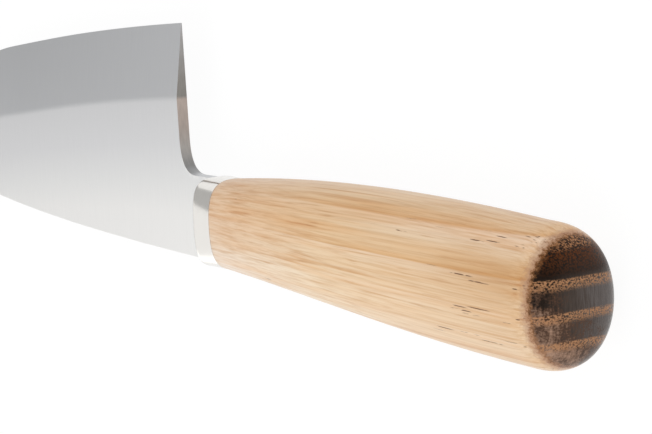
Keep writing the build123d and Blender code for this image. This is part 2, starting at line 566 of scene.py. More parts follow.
class Blade:
    """The forging: neck, heel, flat, bevel, hollow back, eased spine and tang."""

    length = 164.97
    neck_length = 15.8
    heel_depth = 44.8
    heel_lean = 0.6
    neck_spine_half = 9.5
    neck_edge_half = 9.85
    throat_length = 7.2
    throat_depth = 8.3
    tip_depth = 3.2
    belly_length_shares = (0.21, 0.42, 0.61, 0.77, 0.9)
    belly_rise_shares = (0.032, 0.083, 0.144, 0.245, 0.528)
    spine_length_shares = (0.26, 0.55, 0.73, 0.87)
    spine_drop_shares = (0.024, 0.146, 0.3, 0.53)
    thickness = 2.8
    tip_thickness = 1.7
    edge_thickness = 0.16
    bevel_place_shares = (0.0, 0.6, 1.0)
    bevel_widths = (17.3, 19.4, 17.0)
    grind_stations = 9
    run_out = 4.0
    hollow_depth = 0.5
    hollow_edge_rim = 4.0
    hollow_spine_rim = 6.0
    hollow_heel_gap = 4.0
    hollow_tip_gap = 26.0
    hollow_rise_share = 0.3
    hollow_fall_share = 0.4
    spine_ease = 0.22
    heel_fade = 6.0
    mark_limit = 27.0
    outline_points = 1600
    main_columns = 250
    neck_columns = 30
    upper_rows = 16
    middle_rows = 12
    bevel_rows = 26
    ease_steps = 5
    back_clearance = 0.001
    run_out_points = 40
    points_at_once = 400
    slope_step = 0.5
    least_flat_share = 0.03
    hollow_low_share = 0.4
    hollow_high_share = 0.6
    ease_height_share = 0.2
    ease_wall_share = 0.45

    def __init__(self, axis: KnifeAxis, collar: CollarSizes, tang: TangSizes) -> None:
        """Works out the outline curves, the ridge line and the slope of the bevel.

        Args:
            axis: the handle's axis in the frame.
            collar: the collar's sizes.
            tang: the tang's sizes.
        """
        self.axis = axis
        self.collar = collar
        self.tang = tang
        self.heel_x = collar.length + self.neck_length
        self.tip_x = self.heel_x + self.length
        self.back_z = self.back_clearance - self.thickness / 2
        self.edge_z = self.back_z + self.edge_thickness
        self.edge = self._belly()
        self.spine = self._spine()
        self.throat = self._throat()
        self._work_out_bevel()

    def _belly(self) -> Grid:
        """The cutting edge from the heel to the tip, seen from the bevelled side.

        Returns:
            Points from the heel to the tip, as rows of X and Y.
        """
        drop = self.heel_depth - self.tip_depth
        along = np.array([0, *self.belly_length_shares, 1]) * self.length
        rise = np.array([0, *self.belly_rise_shares, 1]) * drop
        points = np.stack([self.heel_x + along, rise - self.heel_depth], axis=1)
        return spline_through(points, self.outline_points)

    def _spine(self) -> Grid:
        """The spine from the collar to the tip.

        Returns:
            Points from the collar to the tip, as rows of X and Y.
        """
        along = np.array([0, *self.spine_length_shares, 1]) * (self.tip_x - self.collar.length)
        fall = np.array([0, *self.spine_drop_shares, 1]) * (self.neck_spine_half + self.tip_depth)
        points = np.stack([self.collar.length + along, self.neck_spine_half - fall], axis=1)
        return spline_through(points, self.outline_points)

    def _throat(self) -> Grid:
        """The neck's lower outline, from the collar along the neck and round the throat to the heel's top.

        The throat is one cubic that leaves along the neck and arrives along the heel. Its two slopes have
        the same sum of sideways and downward parts as the straight line between its ends.

        Returns:
            Points from the collar to the heel's top, as rows of X and Y.
        """
        end = np.array([self.heel_x - self.heel_lean - self.throat_length, -self.neck_edge_half])
        top = np.array([self.heel_x - self.heel_lean, -self.neck_edge_half - self.throat_depth])
        span = top - end
        leave = np.array([np.abs(span).sum(), 0.0])
        heel_line = np.array([self.heel_lean, self.neck_edge_half + self.throat_depth - self.heel_depth])
        arrive = heel_line * np.abs(span).sum() / np.abs(heel_line).sum()
        share = np.linspace(0, 1, self.outline_points)[:, None]
        curve = hermite(end, top, leave, arrive, share)
        neck_start = np.array([[self.collar.length, -self.neck_edge_half]])
        return np.concatenate([neck_start, curve])

    def _work_out_bevel(self) -> None:
        """Finds the bevel at every point of the edge: its inward direction, width, slope and ridge.

        The bevel is straight from the edge to the ridge, square to the edge. Its slope is the flat's
        height above the edge at the ridge, divided by its width.
        """
        tangent = np.gradient(self.edge, axis=0)
        tangent = tangent / np.linalg.norm(tangent, axis=1, keepdims=True)
        inward = np.stack([-tangent[:, 1], tangent[:, 0]], axis=1)
        stations = np.linspace(0, 1, self.grind_stations)
        widths = np.interp(stations, self.bevel_place_shares, self.bevel_widths)
        curve = spline_through(np.stack([stations * self.length, widths], axis=1), self.outline_points)
        share = np.linspace(0, 1, self.outline_points)
        width = np.interp(share * self.length, curve[:, 0], curve[:, 1])
        self.ridge = self.edge + inward * width[:, None]
        slope = (self.flat_height(self.ridge[:, 0]) - self.edge_z) / width
        run = np.linspace(self.run_out, 0, self.run_out_points, endpoint=False)[:, None]
        self.long_edge = np.concatenate([self.edge[0] - tangent[0] * run, self.edge,
                                         self.edge[-1] + tangent[-1] * run[::-1]])
        self.long_slope = np.pad(slope, self.run_out_points, mode="edge")

    def flat_height(self, x: Grid) -> Grid:
        """How high the flat face lies along the blade: it falls evenly towards the tip."""
        fall = (self.thickness - self.tip_thickness) / (self.tip_x - self.collar.length)
        return self.thickness / 2 - fall * (x - self.collar.length)

    def front_height(self, flat_points: Grid) -> Grid:
        """The height of the bevelled side: the lower of the flat and the bevel.

        Args:
            flat_points: points seen from above, as rows x columns x 2.

        Returns:
            Z of each point, as rows x columns.
        """
        shape = flat_points.shape[:2]
        points = flat_points.reshape(-1, 2)
        heights = []
        for part in np.array_split(points, max(1, len(points) // self.points_at_once)):
            apart = np.linalg.norm(part[:, None] - self.long_edge[None], axis=2)
            nearest = apart.argmin(axis=1)
            heights.append(self.edge_z + apart.min(axis=1) * self.long_slope[nearest])
        bevel = np.concatenate(heights).reshape(shape)
        return np.minimum(bevel, self.flat_height(flat_points[..., 0]))

    def back_height(self, flat_points: Grid) -> Grid:
        """The height of the back: flat, with a hollow whose slices are shallow arcs.

        A slice is one less the square of the distance from the hollow's middle, in half widths. Along the
        blade the depth rises and falls as a quarter of a sine.

        Args:
            flat_points: points seen from above, as rows x columns x 2.

        Returns:
            Z of each point, as rows x columns.
        """
        x, y = flat_points[..., 0], flat_points[..., 1]
        start = self.heel_x + self.hollow_heel_gap
        along = (x - start) / (self.tip_x - self.hollow_tip_gap - start)
        rise = np.sin(np.pi / 2 * np.clip(along / self.hollow_rise_share, 0, 1))
        fall = np.sin(np.pi / 2 * np.clip((1 - along) / self.hollow_fall_share, 0, 1))
        low, high = self.hollow_borders(x)
        across = (2 * y - low - high) / np.maximum(high - low, self.edge_thickness)
        return self.back_z + self.hollow_depth * rise * fall * np.clip(1 - across ** 2, 0, 1)

    def hollow_borders(self, x: Grid) -> tuple[Grid, Grid]:
        """Y of the hollow's two long borders along the blade."""
        return self.edge_y(x) + self.hollow_edge_rim, self.spine_y(x) - self.hollow_spine_rim

    def edge_y(self, x: Grid) -> Grid:
        """Y of the cutting edge along the blade."""
        return np.interp(x, self.edge[:, 0], self.edge[:, 1])

    def spine_y(self, x: Grid) -> Grid:
        """Y of the spine along the blade."""
        return np.interp(x, self.spine[:, 0], self.spine[:, 1])

    def spine_outward(self, x: Grid) -> Grid:
        """The direction square to the spine, away from the blade, as columns x 2.

        Args:
            x: places along the blade.

        Returns:
            Directions of length one, as places x 2.
        """
        step = self.slope_step
        rise = (self.spine_y(np.minimum(x + step, self.tip_x)) - self.spine_y(x - step)) / (2 * step)
        outward = np.stack([-rise, np.ones_like(rise)], axis=-1)
        return outward / np.linalg.norm(outward, axis=-1, keepdims=True)

    def _columns(self) -> dict[str, Grid]:
        """The corner points of each column of the blade's two faces, seen from above.

        A column of the main blade runs from the spine to the edge. On the bevelled side it has corners at
        the spine, level with the throat, at the ridge and at the edge. On the back the two in between lie
        on the hollow's borders. A column of the neck ends at the neck's lower outline.

        Returns:
            Arrays of columns x corners x 2 for front, back and neck, and the spine's points and easing.
        """
        foot = evenly_along(self.edge, self.main_columns)
        x = foot[:, 0]
        throat_y = -self.neck_edge_half - self.throat_depth
        lean = self.heel_lean * np.clip(1 - (x - self.heel_x) / self.heel_fade, 0, 1)
        spine_x = x - lean
        spine = np.stack([spine_x, self.spine_y(spine_x)], axis=1)
        height = spine[:, 1] - foot[:, 1]
        ridge_y = np.interp(x, self.ridge[:, 0], self.ridge[:, 1])
        ridge_y = np.minimum(ridge_y, spine[:, 1] - self.least_flat_share * height)
        throat_share = (spine[0, 1] - throat_y) / (spine[0, 1] - ridge_y[0])
        upper_y = spine[:, 1] + (ridge_y - spine[:, 1]) * throat_share

        low, high = self.hollow_borders(x)
        into = np.clip((x - self.heel_x) / self.hollow_heel_gap, 0, 1)
        safe_high = np.maximum(high, foot[:, 1] + self.hollow_high_share * height)
        safe_low = np.minimum(low, foot[:, 1] + self.hollow_low_share * height)
        back_upper = upper_y + (safe_high - upper_y) * into
        back_lower = ridge_y + (safe_low - ridge_y) * into

        neck_foot = self._neck_foot()
        neck_spine = np.stack([neck_foot[:, 0], self.spine_y(neck_foot[:, 0])], axis=1)
        all_spine = np.concatenate([neck_spine[:-1], spine])
        heights = np.concatenate([neck_spine[:-1, 1] + self.neck_edge_half, height])
        ease = np.minimum(self.spine_ease, self.ease_height_share * heights)
        return {
            "front": self._corners(spine, ease[-len(x):], [upper_y, ridge_y], foot, lean),
            "back": self._corners(spine, ease[-len(x):], [back_upper, back_lower], foot, lean),
            "neck": np.stack([neck_spine - self.spine_outward(neck_foot[:, 0]) * ease[:len(neck_foot), None],
                              neck_foot], axis=1),
            "spine": all_spine,
            "ease": ease,
        }

    def _neck_foot(self) -> Grid:
        """The feet of the neck's columns, evenly along its lower outline from the collar to the heel."""
        return evenly_along(self.throat, self.neck_columns)

    def _corners(self, spine: Grid, ease: Grid, between: list[Grid], foot: Grid, lean: Grid) -> Grid:
        """Puts a column's corners together, leaning as the heel does close to it.

        Args:
            spine: the columns' points on the spine.
            ease: the easing's radius at each.
            between: Y of each row of corners between the spine and the foot.
            foot: the columns' points on the edge.
            lean: how far the top of each column leans back.

        Returns:
            The corners, as columns x corners x 2.
        """
        top = spine - self.spine_outward(spine[:, 0]) * ease[:, None]
        heel_span = self.heel_depth - self.neck_edge_half - self.throat_depth
        corners = [top]
        for y in between:
            above_edge = np.clip((y - foot[:, 1]) / heel_span, 0, 1)
            corners.append(np.stack([foot[:, 0] - lean * above_edge, y], axis=1))
        return np.stack([*corners, foot], axis=1)

    @staticmethod
    def _fill(corners: Grid, rows: list[int]) -> Grid:
        """Divides each column evenly between its corners, as rows x columns x 2.

        Args:
            corners: the columns' corners, as columns x corners x 2.
            rows: how many rows go between each corner and the next.

        Returns:
            The points, as rows x columns x 2.
        """
        parts = []
        for number, count in enumerate(rows):
            share = np.linspace(0, 1, count + 1)[:, None, None]
            part = corners[:, number] * (1 - share) + corners[:, number + 1] * share
            parts.append(part if number == 0 else part[1:])
        return np.concatenate(parts)

    def _raise(self, flat_points: Grid, z: Grid) -> Grid:
        """Gives points seen from above their height."""
        return np.concatenate([flat_points, z[..., None]], axis=-1)

    def _spine_wall(self, spine: Grid, ease: Grid, front_z: Grid, back_z: Grid) -> Grid:
        """The spine with both corners eased, from the bevelled side to the back.

        A corner of radius r at angle a stands r (1 - sin a) in from the spine and r (1 - cos a) below the
        face. The radius is limited by the thickness that the bevel leaves.

        Args:
            spine: points of the spine seen from above, as columns x 2.
            ease: the easing's radius at each column.
            front_z: height of the bevelled side at each column.
            back_z: height of the back at each column.

        Returns:
            Points as steps x columns x 3.
        """
        angle = np.linspace(0, np.pi / 2, self.ease_steps + 1)[:, None]
        outward = self.spine_outward(spine[:, 0])
        fall = np.minimum(ease, self.ease_wall_share * (front_z - back_z))
        inset = ease * (1 - np.sin(angle))
        sunk = fall * (1 - np.cos(angle))
        flat = spine[None] - outward[None] * inset[..., None]
        upper = self._raise(flat, front_z - sunk)
        lower = self._raise(flat, back_z + sunk)[::-1]
        return np.concatenate([upper, lower])

    def _tang(self, shoulder: Grid) -> Grid:
        """The shoulder and the tang: the blade's end drawn in to the tang, which tapers to its end.

        Args:
            shoulder: the blade's end as a ring of points.

        Returns:
            Rings from the shoulder to the middle of the tang's end, as rings x places x 3.
        """
        tang = self.tang
        half_height = np.where(shoulder[:, 1] > 0, self.neck_spine_half, self.neck_edge_half)
        y = shoulder[:, 1] / half_height
        z = shoulder[:, 2] / (self.thickness / 2)
        start = np.stack([shoulder[:, 0], y * tang.height / 2, z * tang.thickness / 2], axis=1)
        end_x = np.full_like(y, -tang.length)
        end = np.stack([end_x, y * tang.end_height / 2, z * tang.thickness / 2], axis=1)
        middle = np.stack([end_x, np.zeros_like(y), np.zeros_like(y)], axis=1)
        return np.stack([shoulder, start, end, middle])

    def _from_ridge(self, flat_points: Grid) -> Grid:
        """How far points lie from the ridge, towards the spine, within the limit of the mark."""
        ridge_y = np.interp(flat_points[..., 0], self.ridge[:, 0], self.ridge[:, 1])
        return np.clip(flat_points[..., 1] - ridge_y, -self.mark_limit, self.mark_limit)

    def build(self, ground: bpy.types.Material, sawn: bpy.types.Material) -> bpy.types.Object:
        """Makes the blade in one closed skin and puts it in place of the plain node.

        Args:
            ground: the finish of the faces.
            sawn: the finish of the heel's rear face.

        Returns:
            The blade's object. Its mark is how far a point lies from the ridge, towards the spine.
        """
        corners = self._columns()
        rows = [self.upper_rows, self.middle_rows, self.bevel_rows]
        front_flat = self._fill(corners["front"], rows)
        back_flat = self._fill(corners["back"], rows)
        neck_flat = self._fill(corners["neck"], [self.upper_rows])
        front = self._raise(front_flat, self.front_height(front_flat))
        back = self._raise(back_flat, self.back_height(back_flat))
        back[-1, :, 2] = self.back_z
        front[-1, :, 2] = self.edge_z
        neck_front = self._raise(neck_flat, self.flat_height(neck_flat[..., 0]))
        neck_back = self._raise(neck_flat, np.full(neck_flat.shape[:2], self.back_z))
        wall = self._spine_wall(corners["spine"], corners["ease"],
                                np.concatenate([neck_front[0, :-1, 2], front[0, :, 2]]),
                                np.concatenate([neck_back[0, :-1, 2], back[0, :, 2]]))
        mark = self._from_ridge(front_flat)
        shoulder = np.concatenate([neck_front[:, 0], neck_back[::-1, 0], wall[::-1, 0]])
        heel_rows = slice(self.upper_rows, None)

        skin = Patchwork()
        skin.add(front, mark=mark)
        skin.add(neck_front, mark=self._from_ridge(neck_flat))
        skin.add(back, mark=0.0)
        skin.add(neck_back, mark=0.0)
        skin.add(wall, mark=self.mark_limit)
        skin.add(np.stack([front[-1], back[-1]]), mark=-self.mark_limit)
        skin.add(np.stack([neck_front[-1], neck_back[-1]]), slot=BladeSlot.SAWN, mark=self.mark_limit)
        skin.add(np.stack([front[heel_rows, 0], back[heel_rows, 0]]), slot=BladeSlot.SAWN,
                 mark=np.stack([mark[heel_rows, 0]] * 2))
        skin.add(self._tang(shoulder), closed=True, mark=self.mark_limit)
        piece = skin.make("blade_forging", self.axis, [ground, sawn])
        even = piece.modifiers.new("weighted_normals", "WEIGHTED_NORMAL")
        even.keep_sharp = True
        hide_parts("blade")
        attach(piece, "root")
        return piece


@dataclass(frozen=True)
class Span:
    """A value's two limits and the results at them. Between the limits the result runs evenly."""

    start: float
    end: float
    at_start: float = 0.0
    at_end: float = 1.0

    def sockets(self) -> dict[str, float]:
        """The same four numbers as sockets of a node that maps a range."""
        return {"From Min": self.start, "From Max": self.end, "To Min": self.at_start, "To Max": self.at_end}


@dataclass(frozen=True)
class Tones:
    """Colours at places along a line. Between two places the colour runs evenly."""

    places: tuple[float, ...]
    colours: tuple[str, ...]

    def ramp(self, tree: Tree, value: Socket) -> Socket:
        """Adds the tones to a tree, as the colour at a value.

        Args:
            tree: the material's tree.
            value: where along the line to read the tones.

        Returns:
            The colour at the value.
        """
        low, high = self.places[0], self.places[-1]
        share = add_node(tree, "MapRange", {"Value": value, "From Min": low, "From Max": high})
        return add_node(tree, "ValToRGB", {"Fac": share.outputs["Result"]}, stops=[
            ((at - low) / (high - low), linear(colour)) for at, colour in zip(self.places, self.colours)
        ]).outputs["Color"]


@dataclass(frozen=True)
class Grain:
    """Noise drawn out to a size along X, Y and Z, with finer layers on it."""

    size_mm: Triple
    detail: float
    roughness: float = 0.5

    def pattern(self, tree: Tree, place: Socket) -> Socket:
        """Adds the noise to a tree, for a place in millimetres.

        Args:
            tree: the material's tree.
            place: the place on the piece in millimetres.

        Returns:
            The noise's value, mostly between 0.3 and 0.7.
        """
        drawn = add_node(tree, "Mapping", {"Vector": place, "Scale": [1 / size for size in self.size_mm]})
        return add_node(tree, "TexNoise", {
            "Vector": drawn.outputs["Vector"], "Scale": 1.0,
            "Detail": self.detail, "Roughness": self.roughness,
        }).outputs["Fac"]


@dataclass(frozen=True)
class Streak:
    """Long soft streaks of a colour: none below one value of the noise, and full above another."""

    grain: Grain
    span: Span
    colour: str


@dataclass(frozen=True)
class Patch:
    """A soft egg-shaped patch of a colour: full at its centre, down to none at its reach along each axis."""

    centre_mm: Triple
    reach_mm: Triple
    colour: str

    def share(self, tree: Tree, place: Socket) -> Socket:
        """Adds the share that the colour has at a place in millimetres.

        Args:
            tree: the material's tree.
            place: the place on the piece in millimetres.

        Returns:
            One at the patch's centre, and zero outside it.
        """
        drawn = add_node(tree, "Mapping", {
            "Vector": place, "Scale": [1 / reach for reach in self.reach_mm],
            "Location": [-at / reach for at, reach in zip(self.centre_mm, self.reach_mm)],
        })
        return add_node(tree, "TexGradient", {"Vector": drawn.outputs["Vector"]},
                        gradient_type="SPHERICAL").outputs["Fac"]


@dataclass(frozen=True)
class Finish:
    """What every finish has. Patterns read millimetres about the handle's axis."""

    name: str

    def make(self, axis: KnifeAxis) -> bpy.types.Material:
        """Makes the material: a principled shader, dressed by the finish.

        Args:
            axis: the handle's axis in the frame.

        Returns:
            The material.
        """
        material = bare_material(self.name)
        tree = material.node_tree
        shader = add_node(tree, "BsdfPrincipled")
        add_node(tree, "OutputMaterial", {"Surface": shader.outputs["BSDF"]})
        coordinates = add_node(tree, "TexCoord")
        place = add_node(tree, "Mapping", {
            "Vector": coordinates.outputs["Object"],
            "Location": [-part / MM for part in axis.start],
            "Scale": (1 / MM, 1 / MM, 1 / MM),
        })
        self.dress(tree, shader, place.outputs["Vector"])
        return material

    def dress(self, tree: Tree, shader: bpy.types.Node, place: Socket) -> None:
        """Fills the shader's sockets. Each finish has its own way."""
        raise NotImplementedError


@dataclass(frozen=True)
class GroundSteel(Finish):
    """Stainless knife steel, ground: a grey satin bevel and a brighter, finer flat above the ridge.

    The bevel is left from a coarse wheel, so it scatters more light and looks greyer; its colour also darkens
    towards the tip, a painted reflection. The flat is finer, and its colour brightens away from the ridge, a
    painted reflection. The real grinding lines are too fine to show at their own spacing, so they are drawn
    coarser.
    """

    # Painted reflection: the bevel's colour darkens towards the tip and the flat's brightens away from the
    # ridge.
    bevel_tone_and_reflection_by_x: Tones = Tones((16.0, 120.0), ("DADBDD", "CDCED0"))
    flat_tone_and_reflection_from_ridge: Tones = Tones((0.0, 10.8, 19.98, 27.0), ("DDDDDE", "E1E1E2", "EBEBEA", "F3F2F0"))
    bevel_roughness: float = 0.36
    flat_roughness: float = 0.38
    ridge_softness_mm: float = 1.2
    lines: Grain = Grain((0.35, 9.0, 9.0), 3.0)
    line_shade: Span = Span(0.3, 0.7, 0.975, 1.0)

    def dress(self, tree: Tree, shader: bpy.types.Node, place: Socket) -> None:
        """Blends the two finishes across the ridge by the distance from it, and adds grinding lines.

        Args:
            tree: the material's tree.
            shader: the principled shader to fill.
            place: the place on the piece in millimetres.
        """
        ridge = add_node(tree, "Attribute", attribute_name="mark").outputs["Fac"]
        side = add_node(tree, "MapRange", {
            "Value": ridge, "From Min": -self.ridge_softness_mm, "From Max": self.ridge_softness_mm,
        }, interpolation_type="SMOOTHSTEP").outputs["Result"]
        parts = add_node(tree, "SeparateXYZ", {"Vector": place})
        shade = add_node(tree, "MapRange", {
            "Value": self.lines.pattern(tree, place), **self.line_shade.sockets(),
        })
        # These colours carry painted reflection: a darker bevel towards the tip and a brighter flat towards
        # the spine.
        base = self.bevel_tone_and_reflection_by_x.ramp(tree, parts.outputs["X"])
        flat = self.flat_tone_and_reflection_from_ridge.ramp(tree, ridge)
        for share, colour, blend in ((side, flat, "MIX"), (1.0, shade.outputs["Result"], "MULTIPLY")):
            base = add_node(tree, "Mix", {
                MixSocket.SHARE: share, MixSocket.FIRST: base, MixSocket.SECOND: colour,
            }, data_type="RGBA", blend_type=blend).outputs[MixSocket.RESULT]
        rough = add_node(tree, "MapRange", {
            "Value": side, "To Min": self.bevel_roughness, "To Max": self.flat_roughness,
        })
        tree.links.new(base, shader.inputs["Base Color"])
        tree.links.new(rough.outputs["Result"], shader.inputs["Roughness"])
        shader.inputs["Metallic"].default_value = 1.0


@dataclass(frozen=True)
class SawnSteel(Finish):
    """The heel's rear face: the same steel as cut and linished, duller, darker and a little warm.

    Its colour is laid up the face by Y as painted shade and painted reflection: darkest along the bevel's end
    and deep in the throat, and bright again under the neck.
    """

    # Painted shade and painted reflection up the heel's face: dark in the throat and along the bevel's end.
    shade_and_reflection_tones_by_y: Tones = Tones(
        (-44.8, -31.0, -27.9, -27.1, -21.0, -16.0, -11.7, -10.3, -9.85),
        ("B4B3B2", "96928D", "918E89", "BDAFA6", "B2A69E", "AEA9A4", "929190", "A9A9AA", "D6D7D9"),
    )
    roughness: float = 0.4
    streaks: Grain = Grain((6.0, 2.2, 0.5), 2.0)
    streak_shade: Span = Span(0.3, 0.7, 0.88, 1.0)

    def dress(self, tree: Tree, shader: bpy.types.Node, place: Socket) -> None:
        """Lays the painted shade and reflection up the heel by Y, with faint streaks along the face.

        Args:
            tree: the material's tree.
            shader: the principled shader to fill.
            place: the place on the piece in millimetres.
        """
        parts = add_node(tree, "SeparateXYZ", {"Vector": place})
        shade = add_node(tree, "MapRange", {
            "Value": self.streaks.pattern(tree, place), **self.streak_shade.sockets(),
        })
        base = add_node(tree, "Mix", {
            MixSocket.SHARE: 1.0, MixSocket.FIRST: self.shade_and_reflection_tones_by_y.ramp(tree, parts.outputs["Y"]),
            MixSocket.SECOND: shade.outputs["Result"],
        }, data_type="RGBA", blend_type="MULTIPLY")
        tree.links.new(base.outputs[MixSocket.RESULT], shader.inputs["Base Color"])
        shader.inputs["Metallic"].default_value = 1.0
        shader.inputs["Roughness"].default_value = self.roughness


@dataclass(frozen=True)
class PolishedSteel(Finish):
    """Drawn stainless steel, polished: it mirrors what is round it with a slight haze."""

    colour: str = "E9E6E1"
    clouds: Grain = Grain((2.5, 2.5, 2.5), 2.0)
    haze: Span = Span(0.0, 1.0, 0.11, 0.21)

    def dress(self, tree: Tree, shader: bpy.types.Node, place: Socket) -> None:
        """Adds the faint unevenness that a buffing wheel leaves in the roughness.

        Args:
            tree: the material's tree.
            shader: the principled shader to fill.
            place: the place on the piece in millimetres.
        """
        cloud = self.clouds.pattern(tree, place)
        rough = add_node(tree, "MapRange", {"Value": cloud, **self.haze.sockets()})
        tree.links.new(rough.outputs["Result"], shader.inputs["Roughness"])
        shader.inputs["Base Color"].default_value = linear(self.colour)
        shader.inputs["Metallic"].default_value = 1.0


@dataclass(frozen=True)
class ScorchedWood(Finish):
    """Light ring-porous wood, sanded and oiled, with its butt scorched.

    The year rings lie nearly square to Y, so the side shows them as straight lines along the handle and
    the butt shows them as bands. Each ring starts pale, with a row of open pores, and turns warmer up to
    a thin dark border. The pores are long thin cells: dashes on the side, dots on the butt.

    The scorching starts with a thin rosy brink. Behind it the porous rows are orange-brown. The dense bands
    are dark brown towards the blade's edge and the bevelled side, and turn grey towards the spine and the
    back, which is a painted sheen.
    """

    tones_by_x: Tones = Tones((0.0, -50.0, -78.0, -112.0), ("E6D2BD", "E8D4B8", "E6CEB0", "E1C8AA"))
    pale_and_sheen_patches: tuple[Patch, ...] = (
        Patch((-112.0, -8.5, 5.0), (52.0, 4.0, 13.0), "ECD6BF"),
        # A painted sheen: the spine side by the collar is left pale.
        Patch((-2.0, 10.0, 3.0), (26.0, 7.0, 14.0), "E8DCD0"),
    )
    warm_patches: tuple[Patch, ...] = (
        Patch((-26.0, -6.0, 1.6), (56.0, 11.0, 16.0), "F3DABA"),
        Patch((-108.0, -2.0, 9.0), (26.0, 4.5, 14.0), "EEDFCB"),
    )
    streaks: tuple[Streak, ...] = (
        Streak(Grain((60.0, 2.2, 2.2), 3.0), Span(0.45, 0.75, 0.0, 0.55), "F6DDBB"),
        Streak(Grain((38.0, 0.9, 0.9), 3.0), Span(0.45, 0.8, 0.0, 0.42), "F6DDBB"),
        Streak(Grain((11.0, 0.5, 0.5), 1.0), Span(0.64, 0.78, 0.0, 0.6), "E4D0BD"),
        Streak(Grain((110.0, 0.8, 0.8), 1.5), Span(0.55, 0.72, 0.0, 0.8), "E9D3BA"),
    )
    fibres: Streak = Streak(Grain((28.0, 0.42, 0.42), 4.0, 0.62), Span(0.42, 0.72, 0.0, 0.85), "E8DAC9")
    fibre_height_mm: float = 0.03

    ring_borders_mm: tuple[float, ...] = (-16.4, -9.9, -3.3, 2.4, 7.65, 12.8, 18.6)
    ring_bend_per_mm: float = 0.0075
    ring_wander: Grain = Grain((80.0, 12.0, 12.0), 1.5)
    wander_mm: float = 0.7
    tint_shares: tuple[float, ...] = (0.02, 0.37, 0.9, 0.98)
    tints: tuple[str, ...] = ("FFFCFC", "FCF8F2", "F8ECDA", "EDD3B0")
    tints_by_x: Span = Span(-18.0, -62.0, 0.25, 1.0)
    tints_by_y: Span = Span(2.5, -2.5, 0.45, 1.0)
    porous_shares: tuple[float, ...] = (0.02, 0.22, 0.37, 0.98)
    porous_levels: tuple[float, ...] = (1.0, 0.85, 0.0, 0.0)

    pore_colour: str = "7E5C42"
    pore_depth_mm: float = 0.06
    pore_spacing_mm: Triple = (13.0, 0.42, 0.42)
    pore_middle: Span = Span(0.31, 0.186)
    pores_by_x: Span = Span(-66.0, -106.0, 0.015, 0.8)
    pore_bridges: Grain = Grain((2.0, 0.5, 0.5), 1.0)
    pore_gaps: Span = Span(0.38, 0.52)

    scorched_by_x: Span = Span(-113.0, -115.6)
    scorch_lean: float = 0.02
    scorch_bow_per_mm: float = 0.003
    scorch_clouds: Grain = Grain((1 / 1.3,) * 3, 5.0, 0.78)
    ragged_mm: float = 1.8
    brink: Span = Span(0.0, 0.55, 0.0, 0.85)
    brink_colour: str = "B08A70"
    charred: Span = Span(0.5, 0.78)
    full_char: Span = Span(0.6, 1.0, 0.1, 1.0)
    first_char_colour: str = "92623A"

    speckles: Grain = Grain((0.7, 0.3, 0.3), 3.0, 0.6)
    speckle_height_mm: float = 0.05
    speckle_weight: float = 0.7
    rays: Grain = Grain((1.5, 2.6, 0.3), 2.0)
    ray_weight: float = 0.5
    char_clouds: Grain = Grain((1 / 0.35,) * 3, 4.0, 0.7)
    mottle_middle: float = 1.1
    spineward_per_mm: float = 0.8
    mottle_spineward: Span = Span(-3.0, 6.0, 0.15, 0.9)
    brown_spineward: Span = Span(1.0, 13.0, -0.1, 0.36)
    brown_tones: Tones = Tones((0.2, 0.6), ("4E382B", "A0806B"))
    brown_share: Span = Span(0.02, 0.2)
    # Painted sheen: the dense bands run from dark char to grey by these shares, greyer towards the back and
    # the spine.
    dark_to_sheen_tones: Tones = Tones((0.0, 0.35, 0.62, 1.0), ("140A04", "463C36", "59524F", "655E5B"))
    sheen_grey_by_z: Span = Span(9.0, -9.5)
    sheen_grey_by_y: Span = Span(-4.0, -1.6, 0.16, 1.0)
    sheen_grey_by_rays: Span = Span(0.3, 0.7, 0.72, 1.28)
    glow_by_y: Span = Span(-3.2, -6.8, 0.0, 0.72)
    ember_share: Span = Span(0.42, 0.56)
    ember_colour: str = "60320F"
    row_share: Span = Span(0.4, 0.57)
    row_thinning: float = 0.07
    row_colour: str = "A87A56"

    roughness: float = 0.34
    char_roughness: float = 0.24
    soot_roughness_by_y: Span = Span(-2.0, -4.2, 0.0, 0.2)
    gloss: float = 0.1
    sheen: float = 0.22
    sheen_roughness: float = 0.35

    def dress(self, tree: Tree, shader: bpy.types.Node, place: Socket) -> None:
        """Builds the wood from its rings, fibres and pores, and scorches the butt.

        Args:
            tree: the material's tree.
            shader: the principled shader to fill.
            place: the place on the piece in millimetres.
        """
        parts = add_node(tree, "SeparateXYZ", {"Vector": place})
        ring = self._ring_share(tree, place, parts)
        porous = self._over_rings(tree, ring, self.porous_shares,
                                  [(level, level, level, 1.0) for level in self.porous_levels])
        pore = self._pores(tree, place, parts, porous)
        fibre = self.fibres.grain.pattern(tree, place)
        plain = self._plain_wood(tree, place, parts, ring, fibre)
        burnt = self._scorched_share(tree, place, parts)
        speckle = self.speckles.pattern(tree, place)
        char = self._char_colour(tree, place, parts, porous, speckle)
        brink, charred, full_char = [
            add_node(tree, "MapRange", {"Value": burnt, **span.sockets()}).outputs["Result"]
            for span in (self.brink, self.charred, self.full_char)
        ]
        scorched = add_node(tree, "Mix", {
            MixSocket.SHARE: full_char, MixSocket.FIRST: linear(self.first_char_colour),
            MixSocket.SECOND: char,
        }, data_type="RGBA").outputs[MixSocket.RESULT]
        surface = plain
        for share, colour in ((pore, linear(self.pore_colour)), (brink, linear(self.brink_colour)),
                              (charred, scorched)):
            surface = add_node(tree, "Mix", {
                MixSocket.SHARE: share, MixSocket.FIRST: surface, MixSocket.SECOND: colour,
            }, data_type="RGBA").outputs[MixSocket.RESULT]
        tree.links.new(surface, shader.inputs["Base Color"])
        rough = add_node(tree, "MapRange", {
            "Value": burnt, "To Min": self.roughness, "To Max": self.char_roughness,
        })
        soot = add_node(tree, "MapRange", {
            "Value": parts.outputs["Y"], **self.soot_roughness_by_y.sockets(),
        })
